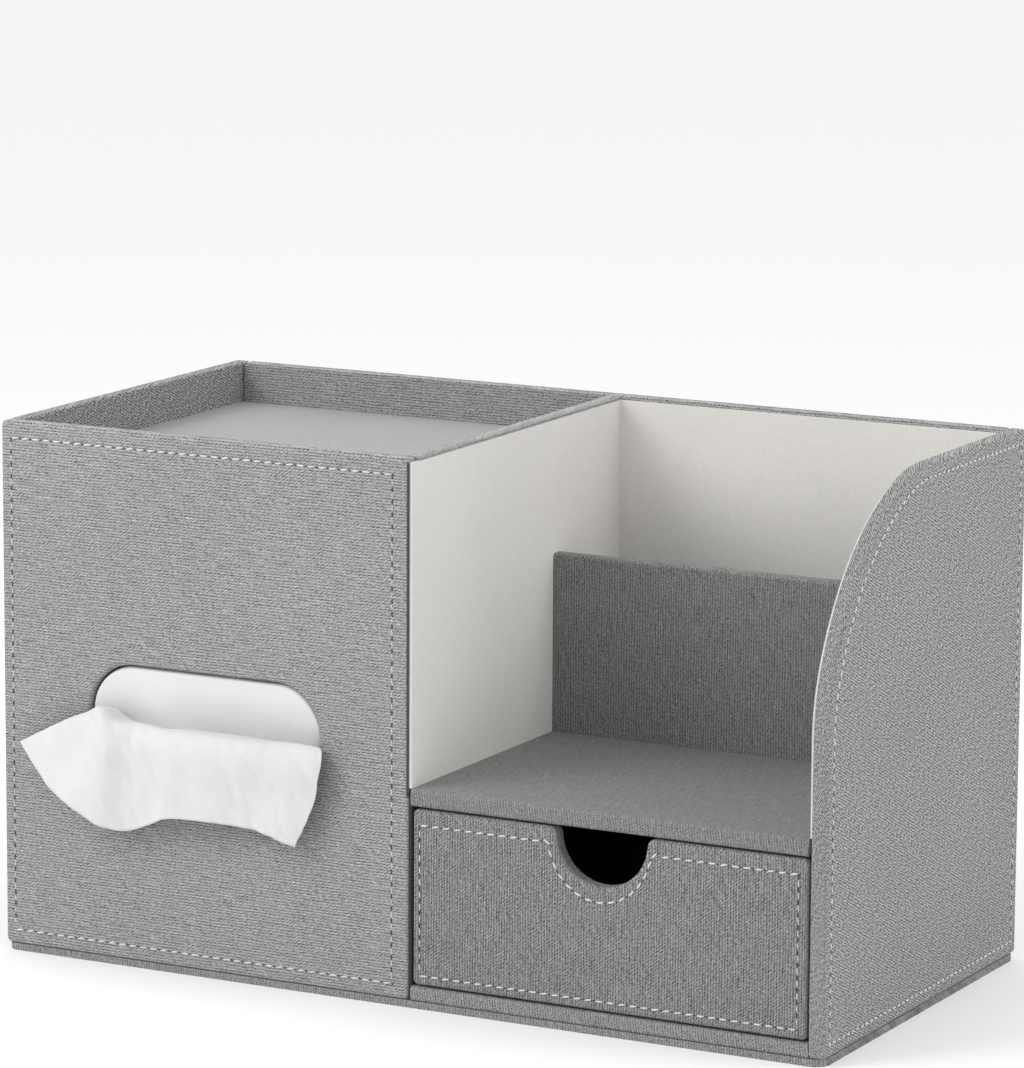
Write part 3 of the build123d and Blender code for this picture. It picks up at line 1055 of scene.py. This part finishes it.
@dataclass
class PulledTissue(Piece):
    """The sheet that hangs out of the slot, as a smooth surface through its columns."""

    name: str = "pulled_tissue_sheet"
    columns: int = 132
    rows: int = 56
    wall: float = -66.0
    thickness: float = 0.22
    # inside and in the slot: each place's depth, and how far it lies under the fold
    mouth: tuple[tuple[float, float], ...] = ((-57.9, 3.0), (-63.8, 1.4), (-67.1, 0.35))
    # from the fold to the hem: shares of the way across, of the belly, of the fold's
    # reach and of the drop, and how far the place lies back towards the wall
    hang: tuple[tuple[float, ...], ...] = (
        (0.0, 0.0, 1.0, 0.0, 1.3),
        (0.22, 0.9, 1.0, 0.16, -0.9),
        (0.6, 1.0, 0.35, 0.56, -0.7),
        (1.0, 0.0, 0.0, 1.0, 0.0),
    )
    loose: tuple[float, float] = (0.34, 0.6)
    # how high each wave lifts the sheet, its cells in a millimetre across, up and along
    # its lean, and its layer of the noise
    soft: tuple[float, float, float, float, float] = (1.0, 0.11, 0.05, 0.0, 2.0)
    fine: tuple[float, float, float, float, float] = (0.22, 0.42, 0.16, 0.0, 6.0)
    crease: tuple[float, float, float, float, float] = (1.3, 0.2, 0.07, 0.12, 9.0)
    shape: tuple[TissueColumn, ...] = (
        TissueColumn(-97.4, (-99.2, 73.8), 4.0, (-121.0, 63.4), 5.0, 0.0),
        TissueColumn(-96.0, (-96.4, 75.6), 5.6, (-110.9, 52.2), 7.0, 1.6),
        TissueColumn(-92.0, (-92.4, 75.6), 8.0, (-101.3, 46.7), 8.8, 2.0),
        TissueColumn(-87.6, (-88.6, 72.9), 8.4, (-94.0, 42.9), 8.4, 0.8),
        TissueColumn(-81.0, (-81.6, 72.2), 6.2, (-86.0, 41.3), 5.6, -0.6),
        TissueColumn(-74.0, (-74.8, 71.6), 6.8, (-78.0, 43.9), 6.0, 0.6),
        TissueColumn(-66.0, (-66.4, 72.2), 8.4, (-69.8, 47.2), 8.2, 0.8),
        TissueColumn(-53.0, (-52.6, 72.2), 9.0, (-55.2, 47.5), 7.4, 0.4),
        TissueColumn(-41.0, (-39.6, 71.9), 7.8, (-42.4, 46.4), 5.6, -0.2),
        TissueColumn(-33.5, (-29.8, 72.0), 6.4, (-36.0, 44.8), 5.8, 1.2),
        TissueColumn(-28.2, (-23.4, 71.4), 4.4, (-30.4, 43.0), 4.8, 3.0),
    )

    def line(self, column: TissueColumn) -> list[Vector]:
        """The places that one column passes through, from the pack to the hem.

        Args:
            column: The column's sizes.

        Returns:
            Its key points, in millimetres.
        """
        fold_x, fold_z = column.fold
        hem_x, hem_z = column.hem
        keys = [Vector((column.mouth_x, y, fold_z - under)) for y, under in self.mouth]
        for across, belly, near, drop, back in self.hang:
            reach = column.reach * near + column.hem_reach * (1 - near)
            x = fold_x + (hem_x - fold_x) * across + column.belly * belly
            keys.append(Vector((x, self.wall - reach + back, fold_z - (fold_z - hem_z) * drop)))
        return keys

    def crumple(self, place: Vector, along: float) -> float:
        """How far small creases lift the sheet at a place, in millimetres."""

        def wave(lift: float, across: float, up: float, lean: float, layer: float) -> float:
            """One wave's height."""
            cell = Vector((place.x * across + place.z * lean, place.z * up, layer))
            return lift * noise.noise(cell)

        lifted = wave(*self.soft) + wave(*self.fine) - abs(wave(*self.crease))
        return smooth_step(*self.loose, along) * lifted

    def surface(self, across: float, along: float) -> Vector:
        """The sheet's place at two shares, in metres."""
        keys = [self.line(column) for column in self.shape]
        line = [smooth_through([k[i] for k in keys], across) for i in range(len(keys[0]))]
        place = smooth_through(line, along)
        place.y += self.crumple(place, along)
        return place * MM

    def make(self) -> Object:
        """Builds the sheet, which is returned."""
        mesh = grid_mesh(self.name, self.columns, self.rows, self.surface)
        piece = put(mesh, self.name, self.palette.tissue)
        area = sum(face.area for face in mesh.polygons)
        thicken(piece, self.thickness * MM)
        plain(piece)
        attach(piece, "carcass")
        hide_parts("pulled_tissue")
        LOG.info("%s: %.1f cm2 of one sheet", self.name, area * 1e4)
        return piece


@dataclass
class TissuePack(Piece):
    """The folded stack in the chamber, whose front sheet swells into the slot."""

    name: str = "tissue_stack"
    layers: int = 30
    corner: float = 7 * MM
    corner_steps: int = 6
    jitter: float = 0.5 * MM
    valley: float = 0.7 * MM
    end_inset: float = 1.2 * MM
    end_valley: float = 1.0 * MM
    fold_edges: tuple[float, float] = (0.02, 0.25)
    seed: int = 12
    swelling_faces: tuple[int, int] = (150, 60)
    slot_height: float = 28.0 * MM
    slot_width: float = 75.0 * MM
    slot_centre: tuple[float, float] = (-63.25 * MM, 74.0 * MM)
    slot_clearance: float = 0.12 * MM
    swell: float = 8.4 * MM
    swell_edge: float = 1.1 * MM
    sunk: float = 0.6 * MM
    hollow: float = 0.42
    hollow_heights: tuple[float, float] = (10 * MM, -9 * MM)
    hollow_side: float = 14 * MM
    ripple: float = 0.25 * MM
    ripple_cells: tuple[float, float] = (90.0, 140.0)
    weld: float = 0.01 * MM

    def _ring(self, low: Vector, high: Vector, y: float, inset: float) -> list[Vector]:
        """A rounded rectangle at one depth, drawn in by an inset."""
        radius = self.corner - inset * 0.5
        left, right = low.x + inset + radius, high.x - inset - radius
        bottom, top = low.z + inset + radius, high.z - inset - radius
        corners = ((right, top), (left, top), (left, bottom), (right, bottom))
        points = []
        for quarter, (x, z) in enumerate(corners):
            for step in range(self.corner_steps + 1):
                angle = (quarter + step / self.corner_steps) * math.pi / 2
                along, up = radius * math.cos(angle), radius * math.sin(angle)
                points.append(Vector((x + along, y, z + up)))
        return points

    def _stack(self, build: bmesh.types.BMesh) -> None:
        """Adds the folded sheets, front to back, as one ribbed closed block."""
        low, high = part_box("tissue_pack")
        rng = random.Random(self.seed)
        step = (high.y - low.y) / self.layers
        rings = []
        for layer in range(self.layers):
            near = low.y + layer * step
            ends = 1.0 if layer in (0, self.layers - 1) else 0.0
            inset = rng.uniform(0.1, 1.0) * self.jitter + ends * self.end_inset
            valley = inset + self.valley + ends * self.end_valley
            edge, crown = self.fold_edges
            profile = ((edge, valley), (crown, inset), (1 - crown, inset), (1 - edge, valley))
            rings += [self._ring(low, high, near + step * s, drawn_in) for s, drawn_in in profile]
        loops = [[build.verts.new(p) for p in ring] for ring in rings]
        count = len(loops[0])
        for first, second in zip(loops, loops[1:]):
            for i in range(count):
                j = (i + 1) % count
                build.faces.new((first[i], first[j], second[j], second[i]))
        build.faces.new(loops[0])
        build.faces.new(list(reversed(loops[-1])))

    def _swelling(self, front: float, across: float, up: float) -> Vector:
        """A place on the front sheet where it presses into the slot.

        Args:
            front: Where the pack's front is.
            across: How far across the slot, from 0 to 1.
            up: How far up the slot, from 0 to 1.

        Returns:
            The place in the frame.
        """
        radius = self.slot_height / 2 - self.slot_clearance
        half = self.slot_width / 2 - self.slot_clearance
        x = (2 * across - 1) * half
        end = max(abs(x) - (half - radius), 0.0)
        tall = math.sqrt(max(radius**2 - end**2, 0.0))
        z = (2 * up - 1) * tall
        inside = radius - math.hypot(end, z)
        rise = math.sqrt(max(1 - (1 - min(inside / self.swell_edge, 1.0)) ** 2, 0.0))
        across_hollow = smooth_step(-half, self.hollow_side - half, x)
        hollow = self.hollow * across_hollow * smooth_step(*self.hollow_heights, z)
        cells = self.ripple_cells
        ripple = self.ripple * noise.noise(Vector((x * cells[0], z * cells[1], 0.5)))
        y = front + self.sunk - rise * (self.swell * (1 - hollow) + ripple)
        return Vector((self.slot_centre[0] + x, y, self.slot_centre[1] + z))

    def make(self) -> None:
        """Builds the pack."""
        build = bmesh.new()
        self._stack(build)
        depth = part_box("tissue_pack")[0].y
        across, up = self.swelling_faces
        front = grid_mesh("swelling", across, up, lambda i, j: self._swelling(depth, i, j))
        build.from_mesh(front)
        bpy.data.meshes.remove(front)
        bmesh.ops.remove_doubles(build, verts=build.verts, dist=self.weld)
        bmesh.ops.recalc_face_normals(build, faces=build.faces)
        mesh = closed(build, self.name)
        mesh.shade_smooth()
        piece = put(mesh, self.name, self.palette.tissue)
        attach(piece, "carcass")
        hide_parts("tissue_pack")
        LOG.info("%s: %d faces", self.name, len(mesh.polygons))


# ---- painted seam shadow and hinge
@dataclass
class SeamPaintedShadow(Piece):
    """A dark strip, painted shadow of the gap where the front wall's cloth meets the open bay's lining.
    """

    name: str = "front_seam_painted_shadow"
    width: float = 0.5 * MM
    depth: float = 0.3 * MM
    proud: float = 0.04 * MM
    inboard: float = 0.3 * MM
    lower_end: float = 58.0 * MM
    upper_end: float = 1.2 * MM

    def make(self) -> None:
        """Builds the strip of painted shadow."""
        low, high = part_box("front_cover")
        bottom, top = low.z + self.lower_end, high.z - self.upper_end
        build = bmesh.new()
        bmesh.ops.create_cube(build, size=1.0)
        bmesh.ops.scale(build, vec=(self.width, self.depth, top - bottom), verts=build.verts)
        place = (high.x - self.inboard, low.y + self.depth / 2 - self.proud, (bottom + top) / 2)
        bmesh.ops.translate(build, vec=place, verts=build.verts)
        # painted shadow of the gap between cloth and lining, in the needle holes' dark finish
        piece = put(closed(build, self.name), self.name, self.palette.hole)
        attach(piece, "carcass")


@dataclass
class HingeStrip(Piece):
    """The one leather strip that hinges the loading flap, swollen a little over its fold."""

    name: str = "hinge_strip"
    bend: float = 2.5 * MM
    swell: float = 0.35 * MM
    rows: int = 48
    columns: int = 40
    row_inset: float = 3.0 * MM
    edge_share: float = 0.3

    def make(self, needlework: Needlework) -> None:
        """Builds the strip and sews a row on each half.

        Args:
            needlework: What sews the rows.
        """
        low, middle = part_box("hinge_strip_moving")
        _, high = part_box("hinge_strip_fixed")
        thickness = high.y - low.y
        fold = middle.z
        centre_y = (low.y + high.y) / 2

        def surface(across: float, along: float) -> Vector:
            """The strip's middle layer, swollen a little over the fold."""
            z = low.z + (high.z - low.z) * along
            lift = self.swell * math.exp(-(((z - fold) / self.bend) ** 2))
            return Vector((low.x + (high.x - low.x) * across, centre_y + lift, z))

        mesh = grid_mesh(self.name, self.columns, self.rows, surface)
        piece = put(mesh, self.name, self.palette.leather)
        thicken(piece, thickness)
        soft = piece.modifiers.new("edge", "BEVEL")
        soft.width, soft.segments = thickness * self.edge_share, 2
        plain(piece)
        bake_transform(piece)
        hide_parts("hinge_strip_fixed", "hinge_strip_moving")
        left, right = low.x + self.row_inset, high.x - self.row_inset
        for name, body, z in (
            ("hinge_fixed_row", "carcass", high.z - self.row_inset),
            ("hinge_moving_row", "rear_flap", low.z + self.row_inset),
        ):
            ends = (Vector((left, high.y, z)), Vector((right, high.y, z)))
            needlework.sew(Stitching(seed=3), name, body, (ends,), Side.REAR)
        LOG.info("%s: bends over %.1f mm", self.name, 2 * self.bend / MM)


# ---- studio
@dataclass(frozen=True)
class SoftBox:
    """One large soft light that looks at the organiser."""

    name: str
    place: tuple[float, float, float]
    size: float
    power: float

    def make(self, target: Vector) -> None:
        """Hangs the light, turned to a target."""
        lamp = bpy.data.lights.new(self.name, "AREA")
        lamp.shape = "SQUARE"
        lamp.size = self.size
        lamp.energy = self.power
        holder = bpy.data.objects.new(self.name, lamp)
        holder.location = self.place
        holder.rotation_euler = (target - Vector(self.place)).to_track_quat("-Z", "Y").to_euler()
        bpy.context.scene.collection.objects.link(holder)


@dataclass
class Studio:
    """Floor, soft light and the camera at the photograph's place."""

    camera_place: tuple[float, float, float] = (0.7282, -1.3782, 0.4114)
    yaw: float = math.radians(27.856)
    pitch: float = math.radians(10.473)
    roll: float = math.radians(0.333)
    focal_pixels: float = 5561.0
    frame_height: float = 1068.0
    sensor: float = 36.0
    clip: tuple[float, float] = (0.05, 20.0)
    floor_size: float = 11.0
    floor_level: float = 0.9
    floor_roughness: float = 0.8
    lights: tuple[SoftBox, ...] = (
        SoftBox("key_light", (-0.5, -0.65, 0.7), 0.5, 4.4),
        SoftBox("side_light", (0.85, 0.05, 0.75), 0.5, 2.6),
    )

    def camera(self) -> None:
        """Puts the camera where the photograph was taken from."""
        lens = bpy.data.cameras.new("photo_camera")
        lens.sensor_width = self.sensor
        lens.lens = self.focal_pixels / self.frame_height * self.sensor
        lens.clip_start, lens.clip_end = self.clip
        holder = bpy.data.objects.new("photo_camera", lens)
        holder.location = self.camera_place
        look = Euler((math.pi / 2 - self.pitch, 0.0, self.yaw)).to_matrix()
        holder.rotation_euler = (look @ Matrix.Rotation(self.roll, 3, "Z")).to_euler()
        bpy.context.scene.collection.objects.link(holder)
        bpy.context.scene.camera = holder

    def floor(self) -> None:
        """Lays a plain pale floor under the organiser."""
        half = self.floor_size / 2
        corners = [(-half, -half, 0), (half, -half, 0), (half, half, 0), (-half, half, 0)]
        mesh = bpy.data.meshes.new("floor")
        mesh.from_pydata(corners, [], [(0, 1, 2, 3)])
        pale = (*Palette.grey(self.floor_level), 1.0)
        sockets = {"Base Color": pale, "Roughness": self.floor_roughness}
        put(mesh, "floor", dye("pale_floor", lambda graph: sockets))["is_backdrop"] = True

    def air(self) -> None:
        """Fills the room with even white light."""
        world = bpy.data.worlds.new("white_room")
        world.use_nodes = True
        background = world.node_tree.nodes["Background"]
        background.inputs["Color"].default_value = (1.0, 1.0, 1.0, 1.0)
        background.inputs["Strength"].default_value = 1.0
        bpy.context.scene.world = world
        bpy.context.scene.view_settings.view_transform = "Standard"

    def make(self) -> None:
        """Builds the whole studio."""
        self.camera()
        self.floor()
        self.air()
        low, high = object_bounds()
        for light in self.lights:
            light.make((low + high) / 2)


def main() -> None:
    """Builds the looks in order."""
    logging.basicConfig(level=logging.INFO, format="%(relativeCreated)d %(name)s %(message)s")
    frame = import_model()
    Studio().make()
    palette = Palette()
    palette.dress(frame["nodes"])
    needlework = Needlework(palette)
    needlework.dress()
    HingeStrip(palette).make(needlework)
    SeamPaintedShadow(palette).make()
    TissuePack(palette).make()
    sheet = PulledTissue(palette).make()
    LOG.info("sizes written")


if __name__ == "__main__":
    main()
